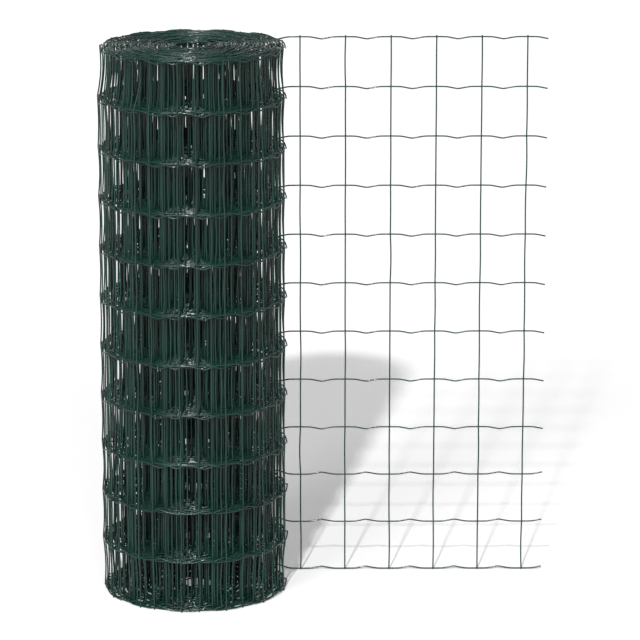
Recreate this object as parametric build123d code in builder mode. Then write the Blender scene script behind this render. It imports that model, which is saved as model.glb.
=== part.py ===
"""Roll of welded wire fencing, standing on end, with its free end drawn off flat.

The whole object is one piece of welded mesh. Twelve line wires run along it, one above
another, and uprights are welded across them. Most of its length is wound into the roll,
which is one turned body with a bore: its turns show as rings on both ends, and both ends
are drawn in a little. The last stretch leaves the back of the roll, bends the other way
and stands flat.

Millimetres. +Z is up, the origin is on the roll's axis at the floor, and the free end
runs along +X, behind the axis.
"""

import os
from math import asin, cos, degrees, radians, sin

from build123d import *

# Wire and mesh
wire_diameter = 2.2
wire_sides = 6
row_count = 12
row_pitch = 76.0
upright_pitch = 68.5
edge_overhang = 2.0
weld_sink = 0.7

# Crimp in each cell of a line wire: a shallow V, slightly off the middle of the cell
crimp_depth = 3.6
crimp_start = 0.24
crimp_tip = 0.47
crimp_end = 0.72
upward_crimp_rows = 3

# Roll
roll_radius = 142.0
bore_radius = 20.0
ring_count = 19
end_inset = 2.5
end_taper_height = 12.0
groove_depth = 4.0

# Free end
free_upright_count = 6
free_plane_y = 75.0
first_upright_gap = 11.3
free_tip_share = 0.45
bend_radius = 80.0
winding_embed = 4.0
embedded_turn = 14.0

# Worked out from the sizes above
roll_height = (row_count - 1) * row_pitch + 2 * edge_overhang
end_radius = roll_radius - end_inset
ring_pitch = (end_radius - bore_radius - wire_diameter) / (ring_count - 1)
winding_radius = end_radius - winding_embed
leave_angle = degrees(asin((free_plane_y + bend_radius) / (winding_radius + bend_radius)))
bend_end_x = (winding_radius + bend_radius) * cos(radians(leave_angle))
first_upright_x = bend_end_x + first_upright_gap


def row_height(row):
    """Height of a line wire's centre, counted from the lowest row."""
    return edge_overhang + row * row_pitch


def polar_point(radius, angle):
    """A point at this radius and angle, in degrees, in the plane of a line wire."""
    return (radius * cos(radians(angle)), radius * sin(radians(angle)), 0)


def end_outline(end_height, inward):
    """Outline of one end of the roll, from the bore outwards, with the rings of its turns.

    The innermost and outermost rings are as wide as the wire, and the rest are crests.
    """
    first_ring = bore_radius + wire_diameter / 2
    groove_height = end_height + inward * groove_depth
    outline = [(bore_radius, end_height), (bore_radius + wire_diameter, end_height)]
    for ring in range(ring_count - 1):
        crest = first_ring + ring * ring_pitch
        outline.append((crest + ring_pitch / 2, groove_height))
        if ring < ring_count - 2:
            outline.append((crest + ring_pitch, end_height))
    outline.append((end_radius - wire_diameter, end_height))
    outline.append((end_radius, end_height))
    outline.append((roll_radius, end_height + inward * end_taper_height))
    return outline


def crimped_run():
    """Centreline of the flat stretch of a line wire, from the bend to the free tip."""
    points = [(bend_end_x, free_plane_y, 0)]
    for cell in range(free_upright_count - 1):
        cell_x = first_upright_x + cell * upright_pitch
        points.append((cell_x + crimp_start * upright_pitch, free_plane_y, 0))
        points.append((cell_x + crimp_tip * upright_pitch, free_plane_y, -crimp_depth))
        points.append((cell_x + crimp_end * upright_pitch, free_plane_y, 0))
    last_x = first_upright_x + (free_upright_count - 1) * upright_pitch
    points.append((last_x + crimp_start * upright_pitch, free_plane_y, 0))
    slope = crimp_depth / (crimp_tip - crimp_start)
    tip_drop = slope * (free_tip_share - crimp_start)
    points.append((last_x + free_tip_share * upright_pitch, free_plane_y, -tip_drop))
    return points


# One line wire of the free end: its last part on the roll, the bend, then the crimped run
with BuildPart() as line_wire:
    with BuildLine() as winding_course:
        inner = ThreePointArc(
            polar_point(winding_radius, leave_angle + embedded_turn),
            polar_point(winding_radius, leave_angle + embedded_turn / 2),
            polar_point(winding_radius, leave_angle),
        )
        bend_centre = Vector(bend_end_x, free_plane_y + bend_radius, 0)
        mid_angle = (leave_angle + 90) / 2
        bend = ThreePointArc(
            inner @ 1,
            bend_centre - Vector(*polar_point(bend_radius, mid_angle)),
            (bend_end_x, free_plane_y, 0),
        )
    with BuildSketch(Plane(inner @ 0, x_dir=(0, 0, 1), z_dir=inner % 0)):
        RegularPolygon(wire_diameter / 2, wire_sides)
    sweep(path=winding_course.line)
    with BuildLine() as crimped_course:
        Polyline(*crimped_run())
    run_start = Plane((bend_end_x, free_plane_y, 0), x_dir=(0, 0, 1), z_dir=(1, 0, 0))
    with BuildSketch(run_start):
        RegularPolygon(wire_diameter / 2, wire_sides)
    sweep(path=crimped_course.line, transition=Transition.RIGHT)

upturned_wire = mirror(line_wire.part, about=Plane.XY)

with BuildPart() as wire_mesh:
    # The wound mesh, as one turned body
    with BuildSketch(Plane.XZ) as roll_section:
        with BuildLine():
            foot = Polyline(*end_outline(0, 1))
            head = Polyline(*end_outline(roll_height, -1))
            Line(foot @ 1, head @ 1)
            Line(head @ 0, foot @ 0)
        make_face()
    revolve(axis=Axis.Z)

    # The free end: line wires that run out of the roll, and the uprights across them
    for row in range(row_count):
        wire = upturned_wire if row < upward_crimp_rows else line_wire.part
        with Locations((0, 0, row_height(row))):
            add(wire)
    upright_y = free_plane_y + wire_diameter - weld_sink
    with BuildSketch(Plane.XY):
        for upright in range(free_upright_count):
            with Locations((first_upright_x + upright * upright_pitch, upright_y)):
                RegularPolygon(wire_diameter / 2, wire_sides)
    extrude(amount=roll_height)

wire_mesh.part.label = "wire_mesh"
os.makedirs("parts", exist_ok=True)
export_step(wire_mesh.part, "parts/wire_mesh.step")
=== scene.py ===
"""Roll of welded wire fencing: every wire of the mesh, wound into the roll and drawn off flat.

Sizes are in millimetres until the meshes are made. +Z is up, the roll's axis is the Z axis, and
the free end runs along +X behind it. A place along the mesh is counted in cells, from the last
upright of the free end inwards, so upright 0 is the last one and upright 5 is next to the roll.
Turns of the winding are counted inwards too, from the place where the free end leaves the roll.
"""

from math import asin, cos, pi, radians, sin

import bpy
import numpy as np
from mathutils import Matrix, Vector


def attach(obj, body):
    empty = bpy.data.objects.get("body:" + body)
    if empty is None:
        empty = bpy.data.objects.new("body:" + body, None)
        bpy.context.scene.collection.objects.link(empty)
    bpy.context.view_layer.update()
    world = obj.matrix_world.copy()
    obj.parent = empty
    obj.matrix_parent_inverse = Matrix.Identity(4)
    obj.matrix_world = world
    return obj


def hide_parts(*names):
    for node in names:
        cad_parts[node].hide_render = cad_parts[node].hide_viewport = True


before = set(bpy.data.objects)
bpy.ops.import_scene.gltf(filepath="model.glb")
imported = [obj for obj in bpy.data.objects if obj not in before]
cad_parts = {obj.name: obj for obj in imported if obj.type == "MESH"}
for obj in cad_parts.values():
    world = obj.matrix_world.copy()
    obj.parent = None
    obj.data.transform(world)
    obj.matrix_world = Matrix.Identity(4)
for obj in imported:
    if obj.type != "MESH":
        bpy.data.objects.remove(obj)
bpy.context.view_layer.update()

# Wire and mesh
WIRE_RADIUS = 1.1
WIRE_DIAMETER = 2 * WIRE_RADIUS
WELD_SINK = 0.7
UPRIGHT_OFFSET = WIRE_DIAMETER - WELD_SINK
BEAD_RADIUS = 1.75
ROW_COUNT = 12
TOP_ROW = ROW_COUNT - 1
ROW_PITCH = 76.0
LOWEST_ROW = 2.0
ROLL_HEIGHT = 840.0
END_MARGIN = 1.3
CELL = 68.5
UP = np.array([0.0, 0.0, 1.0])

# Crimp in each cell: how deep it is, and how far along the cell, counted inwards, it lies
FLAT_CRIMP_DEPTH = 3.6
WOUND_CRIMP_DEPTH = 5.8
DEEPER_FROM_CELL = 4.8
DEEPER_OVER_CELLS = 1.2
CRIMP_FROM = 0.26
CRIMP_TIP = 0.53
CRIMP_TO = 0.78
CRIMP_TIP_ROUNDING = 0.22
CRIMP_END_ROUNDING = 0.16
UPWARD_CRIMP_ROWS = 3

# Free end
FLAT_Y = 75.0
LAST_UPRIGHT_X = 503.5
FREE_TIP = 0.45
FLAT_UPRIGHTS = 6
BEND_RADIUS = 62.0

# Winding: the outermost turn, then the turns inside it, down to the bore
TURNS = 49
LEAVING_RADIUS = 143.6
OUTER_RADIUS = 140.9
SECOND_RADIUS = 137.8
CORE_RADIUS = 21.4
LEAD_TURNS = 0.12
STEP_FROM = 0.88
STEP_TO = 1.15
BACK_CELLS = 8
BACK_CELL = 66.85
FRONT_CELL = 69.35
CORE_TIP = 0.2
WINDING_STEPS = 240
BLUR_STEPS = WINDING_STEPS // 12
TAUT_REACH = pi / 3

# How far the wires of the outermost turn sag in between the tips of its crimps
OUTER_SAG = 1.5
SAG_ARCH = 0.65
SAG_FLAT = 0.35
SAG_STARTS_OVER = 0.15
SAG_ENDS_OVER = 0.12

# Unevenness of the wound line wires, inwards and upwards, on the inner turns and the outermost.
# Each has its size, its first seed, one to a row, and its longest and shortest waves in cells.
INNER_DENT = (0.15, 100, 47.0, 3.1)
OUTER_DENT = (0.3, 140, 9.0, 2.1)
INNER_RISE = (0.9, 200, 31.0, 4.3)
OUTER_RISE = (0.35, 240, 11.0, 3.0)
OUTER_DENT_MEAN = 0.3
LINE_WIRES_EASE = 0.5

# How far the top and bottom rows are drawn in, the top row more towards -X than towards +X
DRAWN_IN_FROM = 50.0
DRAWN_IN_TO = 140.0
TOP_DRAWN_IN = 1.0
TOP_LEAN = 2.2
FOOT_DRAWN_IN = 1.8

# How far the uprights bow in and sway between the rows, and the one that is kinked near its top
BOW = 0.9
BOW_SPREAD = 0.5
OUTER_BOW = 0.9
END_BOW = 1.2
SWAY = 0.4
WOUND_SWAY = 0.35
SHORTEST_TIP = -0.1
LONGEST_TIP = 1.3
UPRIGHTS_EASE = 0.3
KINKED_UPRIGHT = 13
KINK_DEPTH = 9.5
KINK_AT = 0.6

# Placing of the inner uprights, which closes as many of the camera's lines of sight as it can
SIGHT_STEP = 0.25
SIGHT_REACH = 145.0
MEAN_ARCH = 2 / pi
EDGE_FROM = 110.0
EDGE_TO = 130.0
EDGE_WEIGHT = 3.0
SHIFT_STEP = 0.25
SHIFTS_A_CELL = 6
CELLS_AHEAD = 9
CELLS_KEPT = 3

# How finely the wires are divided: the outer turns and the top row finely, the rest plainly
FINE_CELLS = 44
FINE_STEPS = (
    0.0, 0.1, 0.2, 0.27, 0.33, 0.4, 0.46, 0.5, 0.53, 0.56, 0.6, 0.66, 0.72, 0.78, 0.88,
)
TOP_STEPS = (0.0, 0.1, 0.2, 0.3, 0.4, 0.48, 0.53, 0.58, 0.66, 0.74, 0.82, 0.91)
PLAIN_STEPS = (0.0, 0.13, 0.27, 0.42, 0.53, 0.64, 0.76, 0.88)
SHORTEST_STEP = 0.01
UPRIGHT_STEPS = 5
PLAIN_UPRIGHT_STEPS = 4
FINE_SIDES = 8
PLAIN_SIDES = 6
BEAD_SIDES = 6
BEAD_LEVELS = (radians(-50), 0.0, radians(50))
SHARP_ANGLE = radians(65)

# Coat of the wire
COAT_DARK = (0.0034, 0.0225, 0.0175, 1)
COAT_LIGHT = (0.0075, 0.041, 0.032, 1)
COAT_IOR = 1.5
TINT_SCALE = 9.0
TINT_DETAIL = 3.0
TINT_FROM = 0.3
TINT_TO = 0.75
GLOSS_SCALE = 900.0
GLOSS_DETAIL = 2.0
LEAST_ROUGHNESS = 0.15
MOST_ROUGHNESS = 0.26
BUMP_STRENGTH = 0.05
BUMP_DEPTH = 0.0001

# Camera, in metres and degrees, and its picture in pixels
CAMERA_AT = (0.162, -5.644, 1.818)
CAMERA_PITCH = 13.93
CAMERA_YAW = 0.29
FOCAL_LENGTH = 3852.0
PICTURE_WIDTH = 640.0
SENSOR_WIDTH = 36.0
FARTHEST_SEEN = 100.0

# Floor, in metres
FLOOR_REACH = 40.0
FLOOR_WHITE = 0.93
FLOOR_LIFT = 0.22

# Light. The heights are those of a direction: 0 at the horizon and 1 straight up.
WHITE = (1, 1, 1, 1)
WORLD_LIGHT = 0.16
CEILING_FROM = 0.05
CEILING_TO = 0.4
SUNS = (
    # name, energy, angle, azimuth, elevation
    ("key", 2.9, 2.0, 260.2, 32.6),
    ("soft_left", 1.0, 18.0, 240.0, 28.0),
    ("soft_right", 0.7, 18.0, 280.0, 28.0),
)

SEED = 20251125
rng = np.random.default_rng(SEED)


def smooth(x):
    """Goes smoothly from 0 to 1 while x does."""
    x = np.clip(x, 0, 1)
    return x * x * (3 - 2 * x)


def wave(places, seed, longest, shortest, count=5):
    """Smooth noise between about -1 and 1 with wavelengths between these two."""
    draw = np.random.default_rng(seed)
    total = np.zeros_like(places, dtype=float)
    for i in range(count):
        length = longest * (shortest / longest) ** (i / (count - 1))
        total = total + np.sin(2 * pi * (places / length + draw.random())) * draw.uniform(0.5, 1.0)
    return total / np.sqrt(count)


# Where the free end leaves the roll, and the bend that turns it flat
leave = asin((FLAT_Y + BEND_RADIUS) / (LEAVING_RADIUS + BEND_RADIUS))
bend_x = (LEAVING_RADIUS + BEND_RADIUS) * cos(leave)
bend_y = FLAT_Y + BEND_RADIUS
flat_length = LAST_UPRIGHT_X - bend_x
wound_start = flat_length + BEND_RADIUS * (pi / 2 - leave)


def outer_share(turn):
    """1 on the outermost turn and 0 on the ones inside it."""
    return 1 - smooth((turn - STEP_FROM) / (STEP_TO - STEP_FROM))


def even_radius(turn):
    """Radius of the line wires if every turn were round."""
    lead = (LEAVING_RADIUS - OUTER_RADIUS) * (1 - smooth(turn / LEAD_TURNS))
    step = (OUTER_RADIUS - SECOND_RADIUS) * smooth((turn - STEP_FROM) / (STEP_TO - STEP_FROM))
    inner = np.interp(turn, [STEP_TO, TURNS], [SECOND_RADIUS, CORE_RADIUS])
    return np.where(turn < STEP_TO, OUTER_RADIUS + lead - step, inner)


turn_table = np.arange(TURNS * WINDING_STEPS + 1) / WINDING_STEPS
even_table = even_radius(turn_table)
arc_steps = 2 * pi / WINDING_STEPS * (even_table[1:] + even_table[:-1]) / 2
length_table = np.concatenate([[0], np.cumsum(np.hypot(arc_steps, np.diff(even_table)))])
mesh_length = wound_start + length_table[-1]


def turn_at(length):
    """How many turns are wound at a length of mesh from the last upright."""
    return np.interp(length - wound_start, length_table, turn_table)


def sight_spans(lengths):
    """First and last of the camera's lines of sight that an upright at each length closes."""
    turn = turn_at(lengths)
    inward = outer_share(turn) * (OUTER_SAG + MEAN_ARCH * OUTER_BOW) + MEAN_ARCH * BOW
    radius = even_radius(turn) - inward + UPRIGHT_OFFSET
    x = radius * np.cos(leave + 2 * pi * turn)
    y = radius * np.sin(leave + 2 * pi * turn)
    camera_x, camera_distance = CAMERA_AT[0] * 1000, -CAMERA_AT[1] * 1000
    scale = camera_distance / (camera_distance + y)
    seen_x = (x - camera_x) * scale + camera_x
    first = np.rint((seen_x - WIRE_RADIUS * scale + SIGHT_REACH) / SIGHT_STEP)
    last = np.rint((seen_x + WIRE_RADIUS * scale + SIGHT_REACH) / SIGHT_STEP)
    return first.astype(int), last.astype(int)


def best_shifts(place, still_open):
    """Shifts of the next uprights after this place that close the most of what is open."""
    reach = SHIFTS_A_CELL * CELLS_AHEAD
    shifts = SHIFT_STEP * np.arange(-reach, reach + 1)
    change = np.arange(-SHIFTS_A_CELL, SHIFTS_A_CELL + 1)
    below = np.concatenate([[0], np.cumsum(still_open)])
    score = np.where(shifts == 0, 0.0, -np.inf)
    changes = []
    for k in range(1, CELLS_AHEAD + 1):
        scores = np.array([np.roll(score, c) for c in change])
        first, last = sight_spans(place + k * CELL + shifts)
        changes.append(change[scores.argmax(0)])
        score = scores.max(0) + below[last] - below[first]
    best = int(score.argmax())
    chosen = []
    for step in reversed(changes):
        chosen.append(shifts[best])
        best -= step[best]
    return chosen[::-1]


def place_uprights():
    """Lengths of mesh from the last upright to each upright.

    On the inner turns a cell is up to SHIFTS_A_CELL steps longer or shorter, so that the roll
    lets little light through to the camera. From other sides it lets more through.
    """
    places = [k * CELL for k in range(FLAT_UPRIGHTS)]
    places += [places[-1] + BACK_CELL * (k + 1) for k in range(BACK_CELLS)]
    while turn_at(places[-1] + FRONT_CELL) < 1:
        places.append(places[-1] + FRONT_CELL)
    lines = np.arange(-SIGHT_REACH, SIGHT_REACH, SIGHT_STEP)
    still_open = 1 + EDGE_WEIGHT * smooth((np.abs(lines) - EDGE_FROM) / (EDGE_TO - EDGE_FROM))
    for first, last in zip(*sight_spans(np.array(places[FLAT_UPRIGHTS:]))):
        still_open[first:last] = 0
    while places[-1] + (CELLS_KEPT + 1) * CELL < mesh_length:
        shifts = best_shifts(places[-1], still_open)[:CELLS_KEPT]
        after = places[-1] + CELL * np.arange(1, CELLS_KEPT + 1) + shifts
        for first, last in zip(*sight_spans(after)):
            still_open[first:last] = 0
        places.extend(after)
    return np.array(places)


upright_places = place_uprights()
UPRIGHTS = len(upright_places)


def pulled_tight(radius, angle):
    """Radius of a taut line round points at these radii and angles."""
    apart = angle[:, None] - angle[None]
    near = np.abs(apart) < TAUT_REACH
    facing = np.maximum(np.cos(apart), cos(TAUT_REACH))
    support = np.where(near, radius[None] * facing, 0).max(1)
    return np.where(near, support[None] / facing, np.inf).min(1)


def wound_radius():
    """Radius at each place of the table, with every inner turn taut over the one inside it.

    A turn lies a wire's thickness outside the next one in, and further out over its uprights.
    That leaves the outer turns broadly out of round. What it leaves the last one by is taken
    off every turn, by a share that grows from the core outwards.
    """
    count = round((TURNS - STEP_TO) * WINDING_STEPS)
    turns = turn_table[::-1][:count]
    even = even_radius(turns)
    lift = np.full(count, WIRE_DIAMETER)
    crossed = np.rint((TURNS - turn_at(upright_places)) * WINDING_STEPS).astype(int)
    lift[crossed[crossed < count]] = UPRIGHT_OFFSET + WIRE_DIAMETER
    radius = even.copy()
    quarter, half = WINDING_STEPS // 4, WINDING_STEPS // 2
    for first in range(WINDING_STEPS, count, half):
        window = np.arange(first - quarter, min(first + half + quarter, count))
        under = radius[window - WINDING_STEPS] + lift[window - WINDING_STEPS]
        under[:quarter] = radius[window[:quarter]]
        taut = pulled_tight(under, 2 * pi * turns[window])
        radius[window[quarter:]] = taut[quarter:]
    uneven_by = radius[-WINDING_STEPS:] - even[-WINDING_STEPS:]
    blur = np.ones(BLUR_STEPS) / BLUR_STEPS
    broad = np.convolve(np.tile(uneven_by, 3), blur, "same")[WINDING_STEPS:-WINDING_STEPS]
    shares = np.interp(even, [CORE_RADIUS, SECOND_RADIUS], [0, 1]) ** 2
    places = (np.arange(count) - count) % WINDING_STEPS
    table = even_table.copy()
    table[-count:] = (radius - shares * broad[places])[::-1]
    return table


radius_table = wound_radius()


def plan(cells):
    """Points and outward normals of the mesh's base line, and how many turns they are wound."""
    last = UPRIGHTS - 1
    length = np.interp(cells, np.arange(UPRIGHTS), upright_places)
    length = length + np.minimum(cells, 0) * CELL + np.maximum(cells - last, 0) * CELL
    bent = np.clip((length - flat_length) / BEND_RADIUS, 0, None)
    x = np.where(bent > 0, bend_x - BEND_RADIUS * np.sin(bent), LAST_UPRIGHT_X - length)
    y = bend_y - BEND_RADIUS * np.cos(bent)
    facing = pi / 2 - bent
    on_roll = length > wound_start
    turn = np.where(on_roll, turn_at(length), -1.0)
    radius = np.interp(turn, turn_table, radius_table)
    angle = leave + 2 * pi * turn
    x = np.where(on_roll, radius * np.cos(angle), x)
    y = np.where(on_roll, radius * np.sin(angle), y)
    facing = np.where(on_roll, angle, facing)
    return x, y, np.cos(facing), np.sin(facing), turn


def sag(cells, turn):
    """How far a wire of the outermost turn lies inside the circle through its crimps."""
    from_tip = np.abs((cells - CRIMP_TIP + 0.5) % 1.0 - 0.5)
    chord = SAG_ARCH * (1 - (2 * from_tip - 1) ** 2) + SAG_FLAT * smooth(2 * from_tip)
    shown = smooth(turn / SAG_STARTS_OVER) * (1 - smooth((turn - STEP_FROM) / SAG_ENDS_OVER))
    return OUTER_SAG * shown * chord


def crimp(cells):
    """Depth of the rounded V of the crimps, from 0 to about 1."""
    along = cells % 1.0
    fall = (along - CRIMP_FROM) / (CRIMP_TIP - CRIMP_FROM)
    rise = (CRIMP_TO - along) / (CRIMP_TO - CRIMP_TIP)
    depth = 0.5 * (fall + rise - np.hypot(fall - rise, CRIMP_TIP_ROUNDING))
    return 0.5 * (depth + np.hypot(depth, CRIMP_END_ROUNDING))


def uneven(share, kind, row, cells):
    """What this share of one kind of unevenness comes to along a row."""
    size, first_seed, longest, shortest = kind
    return share * size * wave(cells, first_seed + row, longest, shortest)


def line_point(row, cells):
    """Centres and outward normals of a line wire at these places along the mesh."""
    x, y, nx, ny, turn = plan(cells)
    wound = smooth(turn / LINE_WIRES_EASE)
    inner = smooth(turn - 1.0)
    drawn_in = smooth((np.hypot(x, y) - DRAWN_IN_FROM) / (DRAWN_IN_TO - DRAWN_IN_FROM))
    inward = sag(cells, turn)
    inward = inward + uneven(wound * inner, INNER_DENT, row, cells)
    inward = inward + wound * (1 - inner) * (OUTER_DENT_MEAN + uneven(1, OUTER_DENT, row, cells))
    if row == TOP_ROW:
        lean = TOP_LEAN * (1 - np.cos(np.arctan2(y, x)))
        inward = inward + wound * drawn_in * (TOP_DRAWN_IN + lean)
    if row == 0:
        inward = inward + wound * drawn_in * FOOT_DRAWN_IN
    sign = 1.0 if row < UPWARD_CRIMP_ROWS else -1.0
    deeper = smooth((cells - DEEPER_FROM_CELL) / DEEPER_OVER_CELLS)
    depth = FLAT_CRIMP_DEPTH + (WOUND_CRIMP_DEPTH - FLAT_CRIMP_DEPTH) * deeper
    z = LOWEST_ROW + row * ROW_PITCH + sign * depth * crimp(cells)
    z = z + uneven(wound * inner, INNER_RISE, row, cells)
    z = z + uneven(wound * (1 - inner), OUTER_RISE, row, cells)
    z = np.clip(z, END_MARGIN, ROLL_HEIGHT - END_MARGIN)
    centre = np.stack([x - nx * inward, y - ny * inward, z], 1)
    return centre, np.stack([nx, ny, np.zeros_like(nx)], 1)


class Bars:
    """Collects round bars and weld beads as the vertices and faces of one mesh."""

    def __init__(self):
        self.points = []
        self.faces = []
        self.count = 0

    def bar(self, centre, reference, sides):
        """A bar along these centres. Its section is set square to them by the reference."""
        tangent = np.gradient(centre, axis=0)
        tangent /= np.linalg.norm(tangent, axis=1)[:, None]
        side = np.cross(reference, tangent)
        side /= np.linalg.norm(side, axis=1)[:, None]
        over = np.cross(tangent, side)
        angle = 2 * pi * np.arange(sides) / sides
        ring = np.cos(angle)[:, None] * side[:, None] + np.sin(angle)[:, None] * over[:, None]
        self.points.append((centre[:, None] + WIRE_RADIUS * ring).reshape(-1, 3))
        corner = np.arange(sides)
        starts = self.count + np.arange(len(centre) - 1)[:, None] * sides
        first, follow = starts + corner, starts + (corner + 1) % sides
        quads = np.stack([first, follow, follow + sides, first + sides], 2).reshape(-1, 4)
        self.faces.extend(quads.tolist())
        last_ring = self.count + (len(centre) - 1) * sides
        self.faces.append([self.count + k for k in reversed(range(sides))])
        self.faces.append([last_ring + k for k in range(sides)])
        self.count += len(centre) * sides

    def bead(self, centre, normal):
        """The swelling of the coat round a weld: a six-sided spheroid."""
        side = np.cross(UP, normal)
        angle = 2 * pi * np.arange(BEAD_SIDES) / BEAD_SIDES
        flat = np.cos(angle)[:, None] * side + np.sin(angle)[:, None] * normal
        points = [centre - UP * BEAD_RADIUS]
        for level in BEAD_LEVELS:
            points.extend(centre + BEAD_RADIUS * (cos(level) * flat + sin(level) * UP))
        points.append(centre + UP * BEAD_RADIUS)
        foot, head = self.count, self.count + len(BEAD_LEVELS) * BEAD_SIDES + 1
        for k in range(BEAD_SIDES):
            after = (k + 1) % BEAD_SIDES
            self.faces.append([foot, foot + 1 + after, foot + 1 + k])
            for level in range(len(BEAD_LEVELS) - 1):
                ring = foot + 1 + level * BEAD_SIDES
                above = ring + BEAD_SIDES
                self.faces.append([ring + k, ring + after, above + after, above + k])
            self.faces.append([head - BEAD_SIDES + k, head - BEAD_SIDES + after, head])
        self.points.append(np.array(points))
        self.count += len(points)

    def make(self, name, material):
        """Makes the piece, in metres, which stands for the CAD mesh."""
        mesh = bpy.data.meshes.new(name)
        mesh.from_pydata((np.concatenate(self.points) / 1000).tolist(), [], self.faces)
        mesh.shade_smooth()
        mesh.set_sharp_from_angle(angle=SHARP_ANGLE)
        mesh.materials.append(material)
        piece = bpy.data.objects.new(name, mesh)
        bpy.context.scene.collection.objects.link(piece)
        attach(piece, "root")
        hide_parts("wire_mesh")


def new_node(tree, kind, values=()):
    """A new node of a shader, with these values on its sockets."""
    node = tree.nodes.new(kind)
    for socket, value in dict(values).items():
        node.inputs[socket].default_value = value
    return node


def coated_wire():
    """Dark green plastic coat: semi-gloss, a little uneven in colour and in gloss."""
    material = bpy.data.materials.new("green_coated_wire")
    material.use_nodes = True
    tree = material.node_tree
    link = tree.links.new
    shader = tree.nodes["Principled BSDF"]
    shader.inputs["IOR"].default_value = COAT_IOR
    where = new_node(tree, "ShaderNodeTexCoord")
    broad = new_node(tree, "ShaderNodeTexNoise", {"Scale": TINT_SCALE, "Detail": TINT_DETAIL})
    link(where.outputs["Object"], broad.inputs["Vector"])
    tint = new_node(tree, "ShaderNodeValToRGB")
    dark, light = tint.color_ramp.elements
    dark.position, dark.color = TINT_FROM, COAT_DARK
    light.position, light.color = TINT_TO, COAT_LIGHT
    link(broad.outputs["Fac"], tint.inputs["Fac"])
    link(tint.outputs["Color"], shader.inputs["Base Color"])
    fine = new_node(tree, "ShaderNodeTexNoise", {"Scale": GLOSS_SCALE, "Detail": GLOSS_DETAIL})
    link(where.outputs["Object"], fine.inputs["Vector"])
    range_ends = {"To Min": LEAST_ROUGHNESS, "To Max": MOST_ROUGHNESS}
    rough = new_node(tree, "ShaderNodeMapRange", range_ends)
    link(fine.outputs["Fac"], rough.inputs["Value"])
    link(rough.outputs["Result"], shader.inputs["Roughness"])
    bump = new_node(tree, "ShaderNodeBump", {"Strength": BUMP_STRENGTH, "Distance": BUMP_DEPTH})
    link(fine.outputs["Fac"], bump.inputs["Height"])
    link(bump.outputs["Normal"], shader.inputs["Normal"])
    return material


def places_along(first_cell, last_cell, steps):
    """Places at these shares of every cell between two cells, with both ends."""
    cells = (np.arange(np.floor(first_cell), last_cell + 1)[:, None] + np.array(steps)).ravel()
    inside = (cells > first_cell + SHORTEST_STEP) & (cells < last_cell - SHORTEST_STEP)
    return np.concatenate([[first_cell], cells[inside], [last_cell]])


def make_line_wires(material):
    """The twelve line wires, three to a piece."""
    core_end = UPRIGHTS - 1 + CORE_TIP
    for name, lowest in ("bottom", 0), ("lower", 3), ("upper", 6), ("top", 9):
        bars = Bars()
        for row in range(lowest, lowest + 3):
            inner_steps = TOP_STEPS if row == TOP_ROW else PLAIN_STEPS
            fine = line_point(row, places_along(-FREE_TIP, FINE_CELLS, FINE_STEPS))[0]
            plain = line_point(row, places_along(FINE_CELLS, core_end, inner_steps))[0]
            bars.bar(fine, UP, FINE_SIDES)
            bars.bar(plain, UP, PLAIN_SIDES)
        bars.make("line_wires_" + name, material)


def upright_centre(j, crossings, normal, turn, steps):
    """Centres of one upright, which bows and sways a little between the rows."""
    tangent = np.array([-normal[1], normal[0], 0.0])
    wound = smooth(turn / UPRIGHTS_EASE)
    outermost = wound * outer_share(turn)
    points = [crossings[0] * [1, 1, 0]]
    for row in range(TOP_ROW):
        low, high = crossings[row], crossings[row + 1]
        bow = wound * (BOW + BOW_SPREAD * rng.standard_normal()) + outermost * OUTER_BOW
        if row in (0, TOP_ROW - 1):
            bow += wound * END_BOW
        sway = (SWAY + WOUND_SWAY * wound) * rng.standard_normal()
        share = np.arange(steps)[:, None] / steps
        arch = np.sin(pi * share)
        bend = sway * arch
        if j == KINKED_UPRIGHT and row == TOP_ROW - 1:
            bend = KINK_DEPTH * np.minimum(share / KINK_AT, (1 - share) / (1 - KINK_AT))
        points.extend(low + (high - low) * share - normal * bow * arch + tangent * bend)
    points.append(crossings[-1])
    tip = ROLL_HEIGHT
    if j >= FLAT_UPRIGHTS:
        tip = min(crossings[-1][2] + rng.uniform(SHORTEST_TIP, LONGEST_TIP), ROLL_HEIGHT)
    points.append(crossings[-1] * [1, 1, 0] + tip * UP)
    return np.array(points)


def make_uprights(material):
    """Every upright, and the beads at all welds of the outer turns and of the top row."""
    outer, inner, beads = Bars(), Bars(), Bars()
    places = np.arange(UPRIGHTS, dtype=float)
    rows = [line_point(row, places) for row in range(ROW_COUNT)]
    normals = rows[0][1]
    crossings = np.array([centre + normals * UPRIGHT_OFFSET for centre, _ in rows])
    turns = plan(places)[4]
    for j in range(UPRIGHTS):
        fine = j < FINE_CELLS
        steps = UPRIGHT_STEPS if fine else PLAIN_UPRIGHT_STEPS
        centre = upright_centre(j, crossings[:, j], normals[j], turns[j], steps)
        (outer if fine else inner).bar(centre, normals[j], FINE_SIDES if fine else PLAIN_SIDES)
        for row in range(ROW_COUNT) if fine else (TOP_ROW,):
            weld = crossings[row, j] - normals[j] * UPRIGHT_OFFSET / 2
            weld[2] = np.clip(weld[2], BEAD_RADIUS, ROLL_HEIGHT - BEAD_RADIUS)
            beads.bead(weld, normals[j])
    outer.make("uprights", material)
    inner.make("uprights_inside", material)
    beads.make("weld_beads", material)


def make_camera():
    """A camera in front of the roll and the free end, looking down a little."""
    data = bpy.data.cameras.new("camera")
    data.sensor_fit = "HORIZONTAL"
    data.sensor_width = SENSOR_WIDTH
    data.lens = FOCAL_LENGTH / PICTURE_WIDTH * SENSOR_WIDTH
    data.clip_end = FARTHEST_SEEN
    camera = bpy.data.objects.new("camera", data)
    camera.location = CAMERA_AT
    camera.rotation_euler = (radians(90 - CAMERA_PITCH), 0, radians(-CAMERA_YAW))
    bpy.context.scene.collection.objects.link(camera)
    bpy.context.scene.camera = camera


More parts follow.
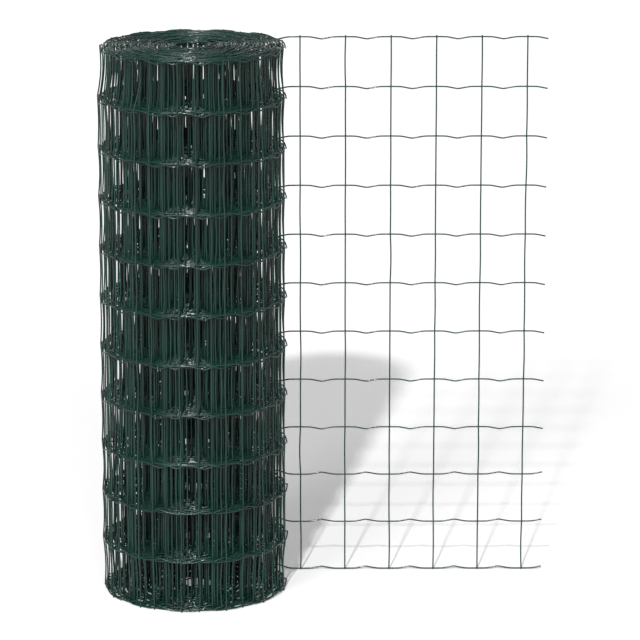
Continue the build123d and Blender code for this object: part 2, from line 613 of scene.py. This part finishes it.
def make_floor():
    """A white floor that keeps the shadow. The camera sees it a little lighter than it is."""
    reach = FLOOR_REACH
    mesh = bpy.data.meshes.new("floor")
    corners = [(-reach, -reach, 0), (reach, -reach, 0), (reach, reach, 0), (-reach, reach, 0)]
    mesh.from_pydata(corners, [], [(0, 1, 2, 3)])
    floor = bpy.data.objects.new("floor", mesh)
    bpy.context.scene.collection.objects.link(floor)
    paper = bpy.data.materials.new("paper")
    paper.use_nodes = True
    tree = paper.node_tree
    shader = tree.nodes["Principled BSDF"]
    shader.inputs["Base Color"].default_value = (FLOOR_WHITE, FLOOR_WHITE, FLOOR_WHITE, 1)
    shader.inputs["Roughness"].default_value = 1.0
    shader.inputs["Specular IOR Level"].default_value = 0.0
    shader.inputs["Emission Color"].default_value = WHITE
    path = new_node(tree, "ShaderNodeLightPath")
    lift = new_node(tree, "ShaderNodeMapRange", {"To Max": FLOOR_LIFT})
    tree.links.new(path.outputs["Is Camera Ray"], lift.inputs["Value"])
    tree.links.new(lift.outputs["Result"], shader.inputs["Emission Strength"])
    mesh.materials.append(paper)


def make_world():
    """A white world that looks brighter than it lights.

    What is glossy reflects the white walls, but not the ceiling, which is dark in a studio.
    """
    world = bpy.data.worlds.new("world")
    bpy.context.scene.world = world
    world.use_nodes = True
    tree = world.node_tree
    link = tree.links.new
    background = tree.nodes["Background"]
    background.inputs["Color"].default_value = WHITE
    path = new_node(tree, "ShaderNodeLightPath")
    where = new_node(tree, "ShaderNodeTexCoord")
    height = new_node(tree, "ShaderNodeSeparateXYZ")
    link(where.outputs["Generated"], height.inputs["Vector"])
    walls = {"From Min": CEILING_TO, "From Max": CEILING_FROM}
    wall = new_node(tree, "ShaderNodeMapRange", walls)
    wall.interpolation_type = "SMOOTHSTEP"
    link(height.outputs["Z"], wall.inputs["Value"])
    mirrored = new_node(tree, "ShaderNodeMath")
    mirrored.operation = "MULTIPLY"
    link(path.outputs["Is Glossy Ray"], mirrored.inputs[0])
    link(wall.outputs["Result"], mirrored.inputs[1])
    seen = new_node(tree, "ShaderNodeMath")
    seen.operation = "MAXIMUM"
    link(path.outputs["Is Camera Ray"], seen.inputs[0])
    link(mirrored.outputs[0], seen.inputs[1])
    level = new_node(tree, "ShaderNodeMapRange", {"To Min": WORLD_LIGHT, "To Max": 1.0})
    link(seen.outputs[0], level.inputs["Value"])
    link(level.outputs["Result"], background.inputs["Strength"])


def make_suns():
    """The key light, which casts the shadow, and two softer ones on either side of it."""
    for name, energy, angle, azimuth, elevation in SUNS:
        data = bpy.data.lights.new(name, "SUN")
        data.energy = energy
        data.angle = radians(angle)
        light = bpy.data.objects.new(name, data)
        a, e = radians(azimuth), radians(elevation)
        towards = Vector((cos(a) * cos(e), sin(a) * cos(e), sin(e)))
        light.rotation_mode = "QUATERNION"
        light.rotation_quaternion = towards.to_track_quat("Z", "Y")
        bpy.context.scene.collection.objects.link(light)


make_camera()
make_floor()
make_world()
make_suns()
coat = coated_wire()
make_line_wires(coat)
make_uprights(coat)
bpy.context.scene.view_settings.view_transform = "Standard"
